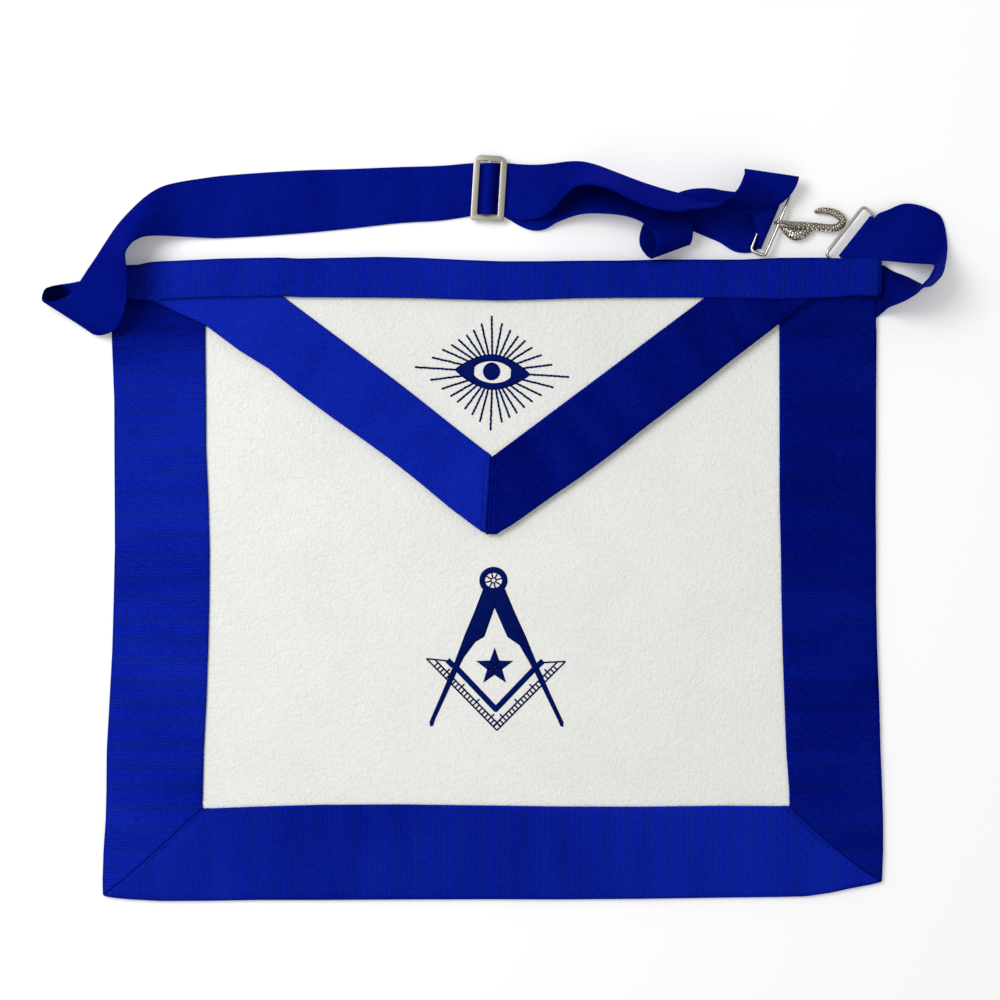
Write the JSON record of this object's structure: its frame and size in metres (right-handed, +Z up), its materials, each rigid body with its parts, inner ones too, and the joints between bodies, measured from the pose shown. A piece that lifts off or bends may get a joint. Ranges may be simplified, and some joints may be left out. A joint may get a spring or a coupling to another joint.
{
  "type": "masonic apron",
  "caption": "White leather apron with blue ribbon borders and a ribboned triangular flap, on a blue webbing belt with a slider and a snake-shaped metal clasp.",
  "frame": {"origin": "centre of the leather panel's underside, on the surface it lies on", "axes": "+X to the wearer's left, along the top edge; +Y towards the waist; +Z up, out of the front face"},
  "size_m": [0.4716, 0.3886, 0.0325],
  "materials": {
    "white_leather": "matt",
    "blue_ribbon": "satin",
    "blue_webbing": "satin",
    "nickel": "polished"
  },
  "bodies": {
    "root": {"panel": "white_leather", "flap_panel": "white_leather", "border_left": "blue_ribbon", "border_right": "blue_ribbon", "border_bottom": "blue_ribbon", "top_band": "blue_ribbon", "flap_ribbon_left": "blue_ribbon", "flap_ribbon_right": "blue_ribbon", "belt_long": "blue_webbing", "belt_short": "blue_webbing", "slider": "nickel", "ring_left": "nickel", "ring_right": "nickel", "snake_hook": "nickel"}
  },
  "joints": []
}
